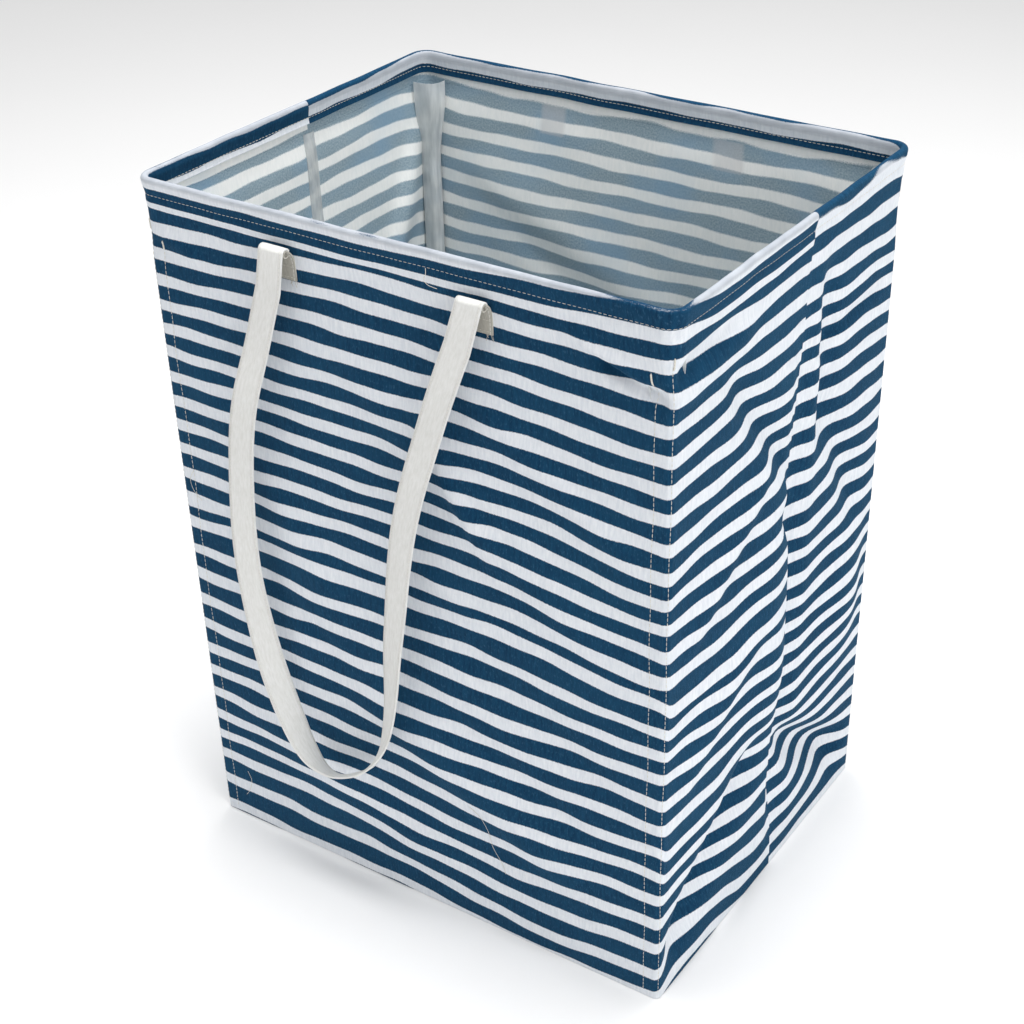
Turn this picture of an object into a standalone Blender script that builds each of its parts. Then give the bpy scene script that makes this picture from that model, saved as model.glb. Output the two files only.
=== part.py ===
"""Free-standing collapsible laundry hamper.

A tall striped cloth box stands on its own base. A wire hoop in the hem spreads the mouth, four
corner rods in sewn sleeves hold the hoop up, and two long strap handles hang from the rim.

Frame: metres, +Z up, +X to the right of the front face, the front face towards -Y.
The origin is on the floor, at the centre of the rim's plan.
"""
import math

import bmesh
import bpy

# ---------------------------------------------------------------- driving dimensions
WIDTH = 0.430            # over the rim, left to right
DEPTH = 0.335            # over the rim, front to back
HEIGHT = 0.560           # floor to the top of the rim
GAP = 0.0003             # between neighbouring pieces

# rim: a wire hoop rolled into the hem
RIM_CORNER = 0.014       # plan radius of the rim's outer corners
WIRE_R = 0.0012          # radius of the hoop's wire
FERRULE_R = 0.0019       # outer radius of the crimped sleeve that joins the wire's ends
FERRULE_LENGTH = 0.018
HEM_CLOTH = 0.0008       # one layer of hem cloth
HEM_DEPTH = 0.025        # rim top down to the hem's stitch line
HEM_ROLL = 0.0105        # below the wire, where the two hem layers meet

# cloth walls
WALL = 0.0015            # cloth and its coated lining
WALL_STEP = 0.004        # how far the walls stand inside the rim's outer line
WALL_CORNER = 0.004      # plan radius of the walls' corners
SEAM_Y = 0.015           # the two side seams join the front and back cloth here
SEAM_GAP = 0.0004        # between the cut edges of the two cloths
SEAM_WIDTH = 0.013       # folded seam allowance on the inside
SEAM_THICK = 0.0014

# base
BASE = 0.0015            # base cloth
BASE_SEAM_HEIGHT = 0.010
BASE_SEAM_THICK = 0.0012

# corner rods and their sewn sleeves
ROD_R = 0.0020
ROD_OFF_FACE = 0.0090    # from the front or back cloth's inner face to the middle of a rod
ROD_TOP_BELOW_RIM = 0.030
CAP_WALL = 0.0007
CAP_LENGTH = 0.011
CAP_FLOOR = 0.002        # solid end of a cap
SLEEVE_HALF = 0.0085     # half the tape's width between its two stitch lines
SLEEVE_FLANGE = 0.002    # tape beyond each stitch line
SLEEVE_THICK = 0.0006
SLEEVE_ROOM = 0.0010     # from a rod cap to the tape at its fullest
SLEEVE_OFF_SIDE = 0.0025  # from the side cloth's inner face to the nearer stitch line
SLEEVE_TOP_BELOW_RIM = 0.047

# strap handles
HANDLE_SHIFT = -0.008    # the handles' centre, left of the middle
HANDLE_HALF = 0.079      # half the distance between a handle's two ends
HANDLE_DROP = 0.432      # fold down to the lowest point of the hanging loop
STRAP_WIDTH = 0.021
STRAP_THICK = 0.0020
STRAP_CLEAR = 0.0095     # from the flat wall to a strap that hangs turned square to it: the cloth bulges
STRAP_STRAIGHT = 0.040   # the strap leaves its fold straight down for this far
STRAP_SWING = 0.070      # and has swung out to its hanging plane this much lower
FOLD_R = 0.0035          # the strap turns over its sewn end on this radius
FOLD_CLEAR = 0.0005      # between the hem and a strap that is held straight up
FOLD_BELOW_HEM = 0.0015  # fold axis, below the hem's stitch line
TAB_THICK = 0.0012
TAB_HEIGHT = 0.021

ARC_STEPS = 6            # straight runs in a quarter turn
STRAP_STEPS = 2          # straight runs of the strap from one stop of its route to the next
ROUND_SIDES = 16         # sides of a turned piece
ROUND_ANGLE = 35         # degrees: edges of a turned piece that are sharper than this stay sharp
WELD = 0.00001           # points nearer than this are one point
FOLD_START = 20          # degrees: where the strap's fold begins, under the hem
FOLD_SWEEP = 140         # degrees: and how far it turns

# how a handle hangs: share of half its width, share of its drop, and the strap's turn about its length
HANDLE_ROUTE = (
    (-1.06, 0.06, 0), (-1.23, 0.16, 0), (-1.40, 0.27, 6), (-1.53, 0.39, 8), (-1.59, 0.51, 12),
    (-1.57, 0.64, 18), (-1.47, 0.76, 36), (-1.30, 0.87, 60), (-1.10, 0.95, 90), (-0.87, 0.985, 122),
    (-0.62, 0.975, 112), (-0.32, 0.935, 94), (-0.12, 0.86, 50), (0.00, 0.76, 30), (0.10, 0.62, 14),
    (0.21, 0.48, 4), (0.39, 0.34, 0), (0.64, 0.20, 0), (0.88, 0.07, 0),
)

# ---------------------------------------------------------------- worked-out places
ROLL_R = FERRULE_R + GAP + HEM_CLOTH
WIRE_X = WIDTH / 2 - ROLL_R
WIRE_Y = DEPTH / 2 - ROLL_R
WIRE_Z = HEIGHT - ROLL_R
WIRE_CORNER = RIM_CORNER - ROLL_R
HEM_Z = HEIGHT - HEM_DEPTH
WALL_X = WIDTH / 2 - WALL_STEP
WALL_Y = DEPTH / 2 - WALL_STEP
INNER_X = WALL_X - WALL
INNER_Y = WALL_Y - WALL
INNER_CORNER = WALL_CORNER - WALL
WALL_TOP = HEM_Z - GAP
FLOOR_IN = BASE + GAP
SLEEVE_BOTTOM = FLOOR_IN + BASE_SEAM_HEIGHT + GAP
SLEEVE_TOP = HEIGHT - SLEEVE_TOP_BELOW_RIM
CAP_R = ROD_R + GAP + CAP_WALL
ROD_X = INNER_X - SLEEVE_OFF_SIDE - SLEEVE_HALF
ROD_Y = INNER_Y - ROD_OFF_FACE
ROD_BOTTOM = FLOOR_IN + CAP_FLOOR + GAP
ROD_TOP = HEIGHT - ROD_TOP_BELOW_RIM
TAB_TOP = HEM_Z - FOLD_BELOW_HEM
STRAP_Y = WALL_Y + STRAP_CLEAR + STRAP_WIDTH / 2
FOLD_Y = DEPTH / 2 + FOLD_CLEAR + STRAP_THICK / 2 + FOLD_R
FOLD_Z = HEM_Z - FOLD_BELOW_HEM

SIDES = (("left", -1), ("right", 1))
FACES = (("front", -1), ("back", 1))


# ---------------------------------------------------------------- scene and materials
def clear_scene():
    for old in list(bpy.data.objects):
        bpy.data.objects.remove(old, do_unlink=True)


def new_collection(name):
    group = bpy.data.collections.new(name)
    bpy.context.scene.collection.children.link(group)
    return group


def principled(name, colour, roughness, metallic=0.0):
    made = bpy.data.materials.new(name)
    made.use_nodes = True
    shader = made.node_tree.nodes["Principled BSDF"]
    shader.inputs["Base Color"].default_value = (*colour, 1.0)
    shader.inputs["Roughness"].default_value = roughness
    shader.inputs["Metallic"].default_value = metallic
    made.diffuse_color = (*colour, 1.0)
    return made


clear_scene()
PARTS = new_collection("laundry_hamper")
GUIDES = new_collection("profiles_and_guides")
STRIPED_CLOTH = ((0.30, 0.42, 0.52), 0.85)
COATED_CLOTH = ((0.70, 0.69, 0.65), 0.55)
WEBBING = ((0.74, 0.74, 0.72), 0.90)
TAPE = ((0.62, 0.64, 0.66), 0.60)
STEEL = ((0.62, 0.62, 0.62), 0.30, 1.0)
GLASS_FIBRE = ((0.80, 0.80, 0.78), 0.45)
PLASTIC = ((0.85, 0.85, 0.83), 0.50)


def empty_at(name, place):
    pivot = bpy.data.objects.new(name, None)
    pivot.empty_display_size = 0.03
    pivot.location = place
    GUIDES.objects.link(pivot)
    return pivot


def add_part(name, mesh, look, pivot=None):
    """Keeps a mesh drawn in world places as a part whose origin is on its pivot."""
    mesh.name = name
    mesh.materials.clear()
    mesh.materials.append(principled(name, *look))
    part = bpy.data.objects.new(name, mesh)
    PARTS.objects.link(part)
    if pivot is not None:
        mesh.transform(pivot.matrix_basis.inverted())
        part.parent = pivot
    return part


# ---------------------------------------------------------------- shapes
def arc(centre_x, centre_y, radius, start_deg, steps=ARC_STEPS, sweep_deg=90):
    """Points on an arc, counter-clockwise from start_deg."""
    turns = [math.radians(start_deg + sweep_deg * k / steps) for k in range(steps + 1)]
    return [(centre_x + radius * math.cos(t), centre_y + radius * math.sin(t)) for t in turns]


def rounded_box(half_x, half_y, radius):
    """A closed rounded rectangle, counter-clockwise from the back right corner."""
    across, along = half_x - radius, half_y - radius
    points = []
    for turn, (side_x, side_y) in enumerate(((1, 1), (-1, 1), (-1, -1), (1, -1))):
        points += arc(side_x * across, side_y * along, radius, 90 * turn)
    return points


def half_box(half_x, half_y, radius, face):
    """An open run round one half of the rounded rectangle, from seam to seam, counter-clockwise."""
    end_y = SEAM_Y + face * SEAM_GAP / 2
    across, along = half_x - radius, half_y - radius
    first, last = (180, 270) if face < 0 else (0, 90)
    side = -1 if face < 0 else 1
    return (
        [(side * half_x, end_y)]
        + arc(side * across, face * along, radius, first)
        + arc(-side * across, face * along, radius, last)
        + [(-side * half_x, end_y)]
    )


def curve_mesh(curve):
    """The welded mesh of a curve; the curve and its object are removed."""
    holder = bpy.data.objects.new("drawing", curve)
    GUIDES.objects.link(holder)
    bpy.context.view_layer.update()
    shown = holder.evaluated_get(bpy.context.evaluated_depsgraph_get())
    mesh = bpy.data.meshes.new_from_object(shown)
    bpy.data.objects.remove(holder)
    tidy = bmesh.new()
    tidy.from_mesh(mesh)
    bmesh.ops.remove_doubles(tidy, verts=tidy.verts, dist=WELD)
    bmesh.ops.recalc_face_normals(tidy, faces=tidy.faces)
    tidy.to_mesh(mesh)
    tidy.free()
    return mesh


def add_spline(curve, points, closed, turns=None):
    line = curve.splines.new("POLY")
    line.points.add(len(points) - 1)
    for spot, place in zip(line.points, points):
        spot.co = (*place, *(0.0,) * (3 - len(place)), 1.0)
    for spot, turn in zip(line.points, turns or []):
        spot.tilt = turn
    line.use_cyclic_u = closed


def prism(outlines, bottom, top):
    """Flat closed outlines (later ones are holes) given a height."""
    curve = bpy.data.curves.new("outline", "CURVE")
    curve.dimensions = "2D"
    curve.fill_mode = "BOTH"
    curve.extrude = (top - bottom) / 2
    for outline in outlines:
        add_spline(curve, outline, True)
    mesh = curve_mesh(curve)
    for corner in mesh.vertices:
        corner.co.z += (top + bottom) / 2
    return mesh


def tube(points, radius, closed=False, resolution=2):
    """A round tube along points."""
    curve = bpy.data.curves.new("run", "CURVE")
    curve.dimensions = "3D"
    curve.bevel_depth = radius
    curve.bevel_resolution = resolution
    curve.use_fill_caps = not closed
    add_spline(curve, points, closed)
    return curve_mesh(curve)


def swept(points, profile, turns=None):
    """A closed flat profile carried along an open run of points."""
    shape = bpy.data.curves.new("profile", "CURVE")
    shape.dimensions = "2D"
    add_spline(shape, profile, True)
    section = bpy.data.objects.new("profile", shape)
    GUIDES.objects.link(section)
    curve = bpy.data.curves.new("run", "CURVE")
    curve.dimensions = "3D"
    curve.twist_mode = "MINIMUM"
    curve.bevel_mode = "OBJECT"
    curve.bevel_object = section
    curve.use_fill_caps = True
    add_spline(curve, points, False, turns)
    mesh = curve_mesh(curve)
    bpy.data.objects.remove(section)
    return mesh


def turned(profile, place, flip=False):
    """A profile of (radius, height) pairs, from the axis back to the axis, turned about Z."""
    mesh = bpy.data.meshes.new("turned")
    mesh.from_pydata([(r, 0, h) for r, h in profile], [(k, k + 1) for k in range(len(profile) - 1)], [])
    holder = bpy.data.objects.new("turned", mesh)
    GUIDES.objects.link(holder)
    spin = holder.modifiers.new("spin", "SCREW")
    spin.steps = ROUND_SIDES
    spin.render_steps = ROUND_SIDES
    spin.use_merge_vertices = True
    spin.merge_threshold = WELD
    bpy.context.view_layer.update()
    shown = holder.evaluated_get(bpy.context.evaluated_depsgraph_get())
    made = bpy.data.meshes.new_from_object(shown)
    bpy.data.objects.remove(holder)
    for corner in made.vertices:
        height = -corner.co.z if flip else corner.co.z
        corner.co = (corner.co.x + place[0], corner.co.y + place[1], height + place[2])
    solid = bmesh.new()
    solid.from_mesh(made)
    bmesh.ops.remove_doubles(solid, verts=solid.verts, dist=WELD)
    bmesh.ops.recalc_face_normals(solid, faces=solid.faces)
    solid.to_mesh(made)
    solid.free()
    made.shade_smooth()
    made.set_sharp_from_angle(angle=math.radians(ROUND_ANGLE))
    return made


def block(low, high):
    """A box between two corners."""
    mesh = bpy.data.meshes.new("block")
    solid = bmesh.new()
    bmesh.ops.create_cube(solid, size=1.0)
    for corner in solid.verts:
        for axis in range(3):
            middle = (low[axis] + high[axis]) / 2
            corner.co[axis] = middle + corner.co[axis] * (high[axis] - low[axis])
    solid.to_mesh(mesh)
    solid.free()
    return mesh


# ---------------------------------------------------------------- cloth body
def make_panel(face_name, face):
    outer = half_box(WALL_X, WALL_Y, WALL_CORNER, face)
    inner = half_box(INNER_X, INNER_Y, INNER_CORNER, face)
    add_part(f"{face_name}_panel", prism([outer + inner[::-1]], 0.0, WALL_TOP), STRIPED_CLOTH)


def make_base():
    sheet = rounded_box(INNER_X - GAP, INNER_Y - GAP, INNER_CORNER)
    add_part("bottom_panel", prism([sheet], 0.0, BASE), COATED_CLOTH)
    inside = rounded_box(INNER_X - GAP - BASE_SEAM_THICK, INNER_Y - GAP - BASE_SEAM_THICK, INNER_CORNER)
    ring = prism([sheet, inside], FLOOR_IN, FLOOR_IN + BASE_SEAM_HEIGHT)
    add_part("base_seam_binding", ring, COATED_CLOTH)


def make_side_seam(side_name, side):
    near = side * (INNER_X - GAP)
    far = side * (INNER_X - GAP - SEAM_THICK)
    low = (min(near, far), SEAM_Y - SEAM_WIDTH / 2, SLEEVE_BOTTOM)
    high = (max(near, far), SEAM_Y + SEAM_WIDTH / 2, WALL_TOP)
    add_part(f"side_seam_{side_name}", block(low, high), COATED_CLOTH)


def make_sleeve(face_name, face, side_name, side):
    """A tape sewn along two lines to the wall, bowed out over the rod between them."""
    flat = INNER_Y - GAP
    bow = flat - ROD_Y + CAP_R + SLEEVE_ROOM
    shares = [k / ARC_STEPS for k in range(1 - ARC_STEPS, ARC_STEPS + 1)]
    flange = ROD_X - SLEEVE_HALF - SLEEVE_FLANGE
    near = [(flange, flat)] + [(ROD_X + SLEEVE_HALF * s, flat - bow * (1 - s * s)) for s in shares]
    far = [(flange, flat - SLEEVE_THICK)]
    for s in shares:
        far.append((ROD_X + (SLEEVE_HALF + SLEEVE_THICK) * s, flat - bow * (1 - s * s) - SLEEVE_THICK))
    outline = [(side * x, face * y) for x, y in near + far[::-1]]
    name = f"corner_sleeve_{face_name}_{side_name}"
    add_part(name, prism([outline], SLEEVE_BOTTOM, SLEEVE_TOP), TAPE)


# ---------------------------------------------------------------- rim
def hem_profile():
    """A hairpin of cloth over the wire: x is outwards, y is up, and the wire's centre is 0, 0."""
    bottom = HEM_Z - WIRE_Z
    cavity = ROLL_R - HEM_CLOTH
    leaf = cavity - GAP
    over = arc(0, 0, ROLL_R, 0, 2 * ARC_STEPS, 180)
    under = arc(0, 0, cavity, 0, 2 * ARC_STEPS, 180)[::-1]
    return (
        [(ROLL_R, bottom)] + over
        + [(leaf - HEM_CLOTH, -HEM_ROLL), (leaf - HEM_CLOTH, bottom), (leaf, bottom), (leaf, -HEM_ROLL)]
        + under + [(cavity, bottom)]
    )


def make_rim(pivot):
    loop = rounded_box(WIRE_X, WIRE_Y, WIRE_CORNER)
    add_part("rim_hoop", tube([(x, y, WIRE_Z) for x, y in loop], WIRE_R, closed=True), STEEL, pivot)
    bore = WIRE_R + GAP
    half = FERRULE_LENGTH / 2
    ring = [(bore, -half), (FERRULE_R, -half), (FERRULE_R, half), (bore, half), (bore, -half)]
    ferrule = turned(ring, (0, 0, 0))
    for corner in ferrule.vertices:
        x, y, z = corner.co
        corner.co = (z, y + WIRE_Y, WIRE_Z - x)
    add_part("hoop_ferrule", ferrule, STEEL, pivot)
    for face_name, face in FACES:
        run = [(x, y, WIRE_Z) for x, y in half_box(WIRE_X, WIRE_Y, WIRE_CORNER, face)]
        add_part(f"rim_hem_{face_name}", swept(run, hem_profile()), STRIPED_CLOTH, pivot)
        for side_name, side in SIDES:
            middle = HANDLE_SHIFT + side * HANDLE_HALF
            near = face * (WALL_Y + GAP)
            far = face * (WALL_Y + GAP + TAB_THICK)
            low = (middle - STRAP_WIDTH / 2, min(near, far), TAB_TOP - TAB_HEIGHT)
            high = (middle + STRAP_WIDTH / 2, max(near, far), TAB_TOP)
            add_part(f"{face_name}_handle_tab_{side_name}", block(low, high), WEBBING, pivot)


# ---------------------------------------------------------------- handles
def smooth_run(stops, per_stop):
    """Points on a smooth curve through every stop (Catmull-Rom)."""
    padded = [stops[0]] + list(stops) + [stops[-1]]
    run = []
    for k in range(len(stops) - 1):
        a, b, c, d = padded[k:k + 4]
        for j in range(per_stop):
            t = j / per_stop
            run.append(tuple(
                0.5 * (2 * q + (r - p) * t + (2 * p - 5 * q + 4 * r - s) * t * t
                       + (3 * q - p - 3 * r + s) * t ** 3)
                for p, q, r, s in zip(a, b, c, d)
            ))
    return run + [tuple(stops[-1])]


def hanging_y(below):
    """How far out the middle of the strap hangs, at a distance below its fold."""
    share = min(max((below - STRAP_STRAIGHT) / STRAP_SWING, 0.0), 1.0)
    share = share * share * (3 - 2 * share)
    return FOLD_Y + FOLD_R + (STRAP_Y - FOLD_Y - FOLD_R) * share


def make_handle(face_name, face):
    """A flat strap: over its folded end, down one leg, round the loop and up the other leg."""
    pivot = empty_at(f"{face_name}_handle_pivot", (HANDLE_SHIFT, face * FOLD_Y, FOLD_Z))
    turns = [math.radians(FOLD_START + FOLD_SWEEP * k / ARC_STEPS) for k in range(ARC_STEPS + 1)]
    fold = [(FOLD_Y + FOLD_R * -math.cos(t), FOLD_Z + FOLD_R * math.sin(t)) for t in turns]
    stops = [(across * HANDLE_HALF, hanging_y(down * HANDLE_DROP), FOLD_Z - down * HANDLE_DROP,
              math.radians(turn)) for across, down, turn in HANDLE_ROUTE]
    first = [(-HANDLE_HALF, y, z, 0.0) for y, z in fold]
    last = [(HANDLE_HALF, y, z, 0.0) for y, z in reversed(fold)]
    run = first + smooth_run(stops, STRAP_STEPS) + last
    mesh = bpy.data.meshes.new("strap")
    solid = bmesh.new()
    rings = []
    for k, (x, y, z, turn) in enumerate(run):
        before, after = run[max(k - 1, 0)], run[min(k + 1, len(run) - 1)]
        along = [after[i] - before[i] for i in range(3)]
        size = math.sqrt(sum(v * v for v in along))
        along = [v / size for v in along]
        heading = (along[0], along[2])
        if k < len(first):
            heading = (0.0, -1.0)
        if k >= len(run) - len(last):
            heading = (0.0, 1.0)
        rings.append(strap_section(solid, (x, y, z), along, heading, turn, face))
    for ring, following in zip(rings, rings[1:]):
        for i in range(4):
            solid.faces.new((ring[i], ring[(i + 1) % 4], following[(i + 1) % 4], following[i]))
    solid.faces.new(rings[0][::-1])
    solid.faces.new(rings[-1])
    bmesh.ops.recalc_face_normals(solid, faces=solid.faces)
    solid.to_mesh(mesh)
    solid.free()
    add_part(f"{face_name}_handle", mesh, WEBBING, pivot)


def strap_section(solid, place, along, heading, turn, face):
    """Four corners of the strap's cross-section, its flat side turned about the strap's length.

    heading is the strap's run (x, z) in the hanging plane; sideways is square to it, in that plane,
    and out points away from the wall.
    """
    flat = math.hypot(*heading)
    sideways = (heading[1] / flat, 0.0, -heading[0] / flat)
    out = (
        along[1] * sideways[2] - along[2] * sideways[1],
        along[2] * sideways[0] - along[0] * sideways[2],
        along[0] * sideways[1] - along[1] * sideways[0],
    )
    wide = [math.cos(turn) * s + math.sin(turn) * o for s, o in zip(sideways, out)]
    thick = [-math.sin(turn) * s + math.cos(turn) * o for s, o in zip(sideways, out)]
    corners = []
    for across, deep in ((-1, -1), (1, -1), (1, 1), (-1, 1)):
        spot = [p + across * STRAP_WIDTH / 2 * w + deep * STRAP_THICK / 2 * t
                for p, w, t in zip(place, wide, thick)]
        mirror = 1 if face > 0 else -1
        corners.append(solid.verts.new((HANDLE_SHIFT + spot[0], mirror * spot[1], spot[2])))
    return corners


# ---------------------------------------------------------------- corner rods
def make_rod(face_name, face, side_name, side):
    foot = (side * ROD_X, face * ROD_Y, 0.0)
    pivot = empty_at(f"rod_axis_{face_name}_{side_name}", foot)
    place = f"{face_name}_{side_name}"
    shaft = [(0, ROD_BOTTOM), (ROD_R, ROD_BOTTOM), (ROD_R, ROD_TOP), (0, ROD_TOP)]
    add_part(f"corner_rod_{place}", turned(shaft, foot), GLASS_FIBRE, pivot)
    bore = ROD_R + GAP
    cup = [(0, 0), (CAP_R, 0), (CAP_R, CAP_LENGTH), (bore, CAP_LENGTH), (bore, CAP_FLOOR), (0, CAP_FLOOR)]
    base = (foot[0], foot[1], FLOOR_IN)
    add_part(f"rod_foot_{place}", turned(cup, base), PLASTIC, pivot)
    crown = (foot[0], foot[1], ROD_TOP + GAP + CAP_FLOOR)
    add_part(f"rod_cap_{place}", turned(cup, crown, flip=True), PLASTIC, pivot)


# ---------------------------------------------------------------- assembly
make_base()
rim_slide = empty_at("rim_slide", (0, 0, WIRE_Z))
make_rim(rim_slide)
for wall_name, wall in FACES:
    make_panel(wall_name, wall)
    make_handle(wall_name, wall)
for edge_name, edge in SIDES:
    make_side_seam(edge_name, edge)
for wall_name, wall in FACES:
    for edge_name, edge in SIDES:
        make_sleeve(wall_name, wall, edge_name, edge)
        make_rod(wall_name, wall, edge_name, edge)
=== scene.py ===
"""Looks of the striped laundry hamper: cloth walls, rolled hem, strap handles, sleeves and stitching."""
import math

import bpy
import numpy as np
from mathutils import Matrix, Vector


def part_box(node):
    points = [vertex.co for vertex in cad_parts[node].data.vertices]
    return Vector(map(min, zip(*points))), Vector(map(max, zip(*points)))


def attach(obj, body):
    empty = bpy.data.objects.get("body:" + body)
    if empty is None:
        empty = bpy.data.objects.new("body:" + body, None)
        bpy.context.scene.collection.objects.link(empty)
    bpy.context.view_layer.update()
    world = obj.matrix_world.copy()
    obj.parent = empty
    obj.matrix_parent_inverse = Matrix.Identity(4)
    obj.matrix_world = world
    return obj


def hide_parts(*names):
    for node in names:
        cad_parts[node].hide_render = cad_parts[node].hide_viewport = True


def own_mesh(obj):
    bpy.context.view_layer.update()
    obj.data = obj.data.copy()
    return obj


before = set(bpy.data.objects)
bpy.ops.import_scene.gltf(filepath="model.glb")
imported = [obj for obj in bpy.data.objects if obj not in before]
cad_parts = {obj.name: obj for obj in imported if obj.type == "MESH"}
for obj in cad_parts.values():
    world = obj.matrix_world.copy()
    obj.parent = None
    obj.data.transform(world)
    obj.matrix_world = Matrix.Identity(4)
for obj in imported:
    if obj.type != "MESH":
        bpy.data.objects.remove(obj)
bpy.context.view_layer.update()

# ---------------------------------------------------------------- sizes, in metres, as the CAD part has them
WALL_X, WALL_Y = (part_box("front_panel")[1].x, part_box("back_panel")[1].y)
WALL_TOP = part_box("rim_hem_front")[0].z
HOOP_Z = (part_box("rim_hoop")[0].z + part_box("rim_hoop")[1].z) / 2
SEAM_Y = 0.015
CLOTH = 0.0008            # thickness of the canvas with its coating
NOMINAL_CORNER = 0.006    # half the cloth length given to each corner
SHARP_CORNER = 0.005      # corner rounding of the walls
RIM_CORNER = 0.010        # corner rounding under the hoop
FRONT_END = WALL_X + WALL_Y + SEAM_Y
BACK_END = WALL_X + WALL_Y - SEAM_Y
ROLL_MIDDLE = 0.5630      # cloth run, floor to the middle of the rolled rim
INSIDE_FOOT = 0.0121      # the seams and sleeves inside stand on the base seam
INSIDE_TOP = 0.5347
HANDLE_SHIFT = -0.008     # the handles sit a little left of the middle
HANDLE_HALF = 0.079       # half the distance between a handle's two ends
HANDLE_DROP = 0.432       # fold to the lowest point of the loop
STRAP_WIDTH, STRAP_THICK = 0.021, 0.0017
STRAP_Y = 0.1835          # plane in which the loop hangs
FOLD_Y, FOLD_Z, FOLD_R = 0.1725, 0.5335, 0.0035
TAB_SHADE, TAB_MIDDLE_Z = 0.0125, 0.523


def srgb(red, green, blue):
    """A paint-card colour, 0 to 255, as the linear colour that a shader takes."""
    return tuple((c / 255 / 12.92 if c <= 10 else ((c / 255 + 0.055) / 1.055) ** 2.4)
                 for c in (red, green, blue)) + (1.0,)


# ---------------------------------------------------------------- soft shapes
def rise(x, low, high):
    """0 up to low, 1 from high on, and the S-curve 3t^2 - 2t^3 between them."""
    t = np.clip((x - low) / (high - low), 0, 1)
    return t * t * (3 - 2 * t)


def hump(x, centre, width):
    """A bell, exp(-((x - centre) / width)^2)."""
    return np.exp(-((x - centre) / width) ** 2)


def ripple(a, b, scale, start):
    """An uneven ripple of about -1 to 1: six crossed sine waves, each longer and turned further."""
    total = 0.0
    for k in range(6):
        turn = 2.4 * k + start
        length = scale * (0.6 + 0.23 * k)
        total = total + np.sin(math.tau * (a * math.cos(turn) + b * math.sin(turn)) / length
                               + 1.7 * start + 2.1 * k)
    return total / 3.0


def crease(u, z, start, end, width, height, lean=0.0):
    """A fold along a line: a bell across the line, wider on one side by lean, dying out at both ends."""
    du, dz = end[0] - start[0], end[1] - start[1]
    length = math.hypot(du, dz)
    along = ((u - start[0]) * du + (z - start[1]) * dz) / length ** 2
    across = ((z - start[1]) * du - (u - start[0]) * dz) / length
    reach = width * (1 + lean * np.tanh(across / (0.3 * width)))
    return height * np.exp(-(across / reach) ** 2) * rise(along, -0.15, 0.2) * rise(1 - along, -0.15, 0.2)


# ---------------------------------------------------------------- where the cloth lies
def corner_round(z):
    """Corner radius of the walls at height z: sharp, opening to the hoop's corner near the top."""
    return SHARP_CORNER + (RIM_CORNER - SHARP_CORNER) * rise(z, 0.490, WALL_TOP)


def base_line(u, z, face):
    """Point and outward direction of the undented wall.

    u runs along the cloth from the middle of its face, positive to the right, and turns the corner
    at the width of the wall; a quarter circle of corner_round(z) joins the two straight runs.
    """
    side, run = np.sign(u), np.abs(u)
    round_ = corner_round(z)
    turn = np.clip((run - WALL_X + NOMINAL_CORNER) / (2 * NOMINAL_CORNER), 0, 1) * math.pi / 2
    flat = np.clip(run / (WALL_X - NOMINAL_CORNER), 0, 1)
    end = FRONT_END if face < 0 else BACK_END
    share = np.clip((run - WALL_X - NOMINAL_CORNER) / (end - WALL_X - NOMINAL_CORNER), 0, 1)
    x = flat * (WALL_X - round_) + round_ * np.sin(turn)
    y = (WALL_Y - round_) + round_ * np.cos(turn) - share * (WALL_Y - round_ - face * SEAM_Y)
    direction = np.stack([side * np.sin(turn), face * np.cos(turn), 0 * turn], axis=-1)
    return np.stack([side * x, face * y, z + 0 * x], axis=-1), direction


def seam_dip(z, side):
    """How far the side seam is drawn in: the sides of a hamper that folds flat stay pushed in."""
    if side > 0:
        return (-0.009 * hump(z, 0.11, 0.055) - 0.008 * hump(z, 0.30, 0.13)) * rise(z, 0.0, 0.05) \
            * rise(WALL_TOP - z, 0.01, 0.10)
    return -0.010 * hump(z, 0.28, 0.16) * rise(z, 0.0, 0.06) * rise(WALL_TOP - z, 0.02, 0.14)


def flare(z):
    """The wall leans out to the thicker hem over its last 24 mm."""
    return 0.0015 * rise(z, WALL_TOP - 0.024, WALL_TOP)


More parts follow.
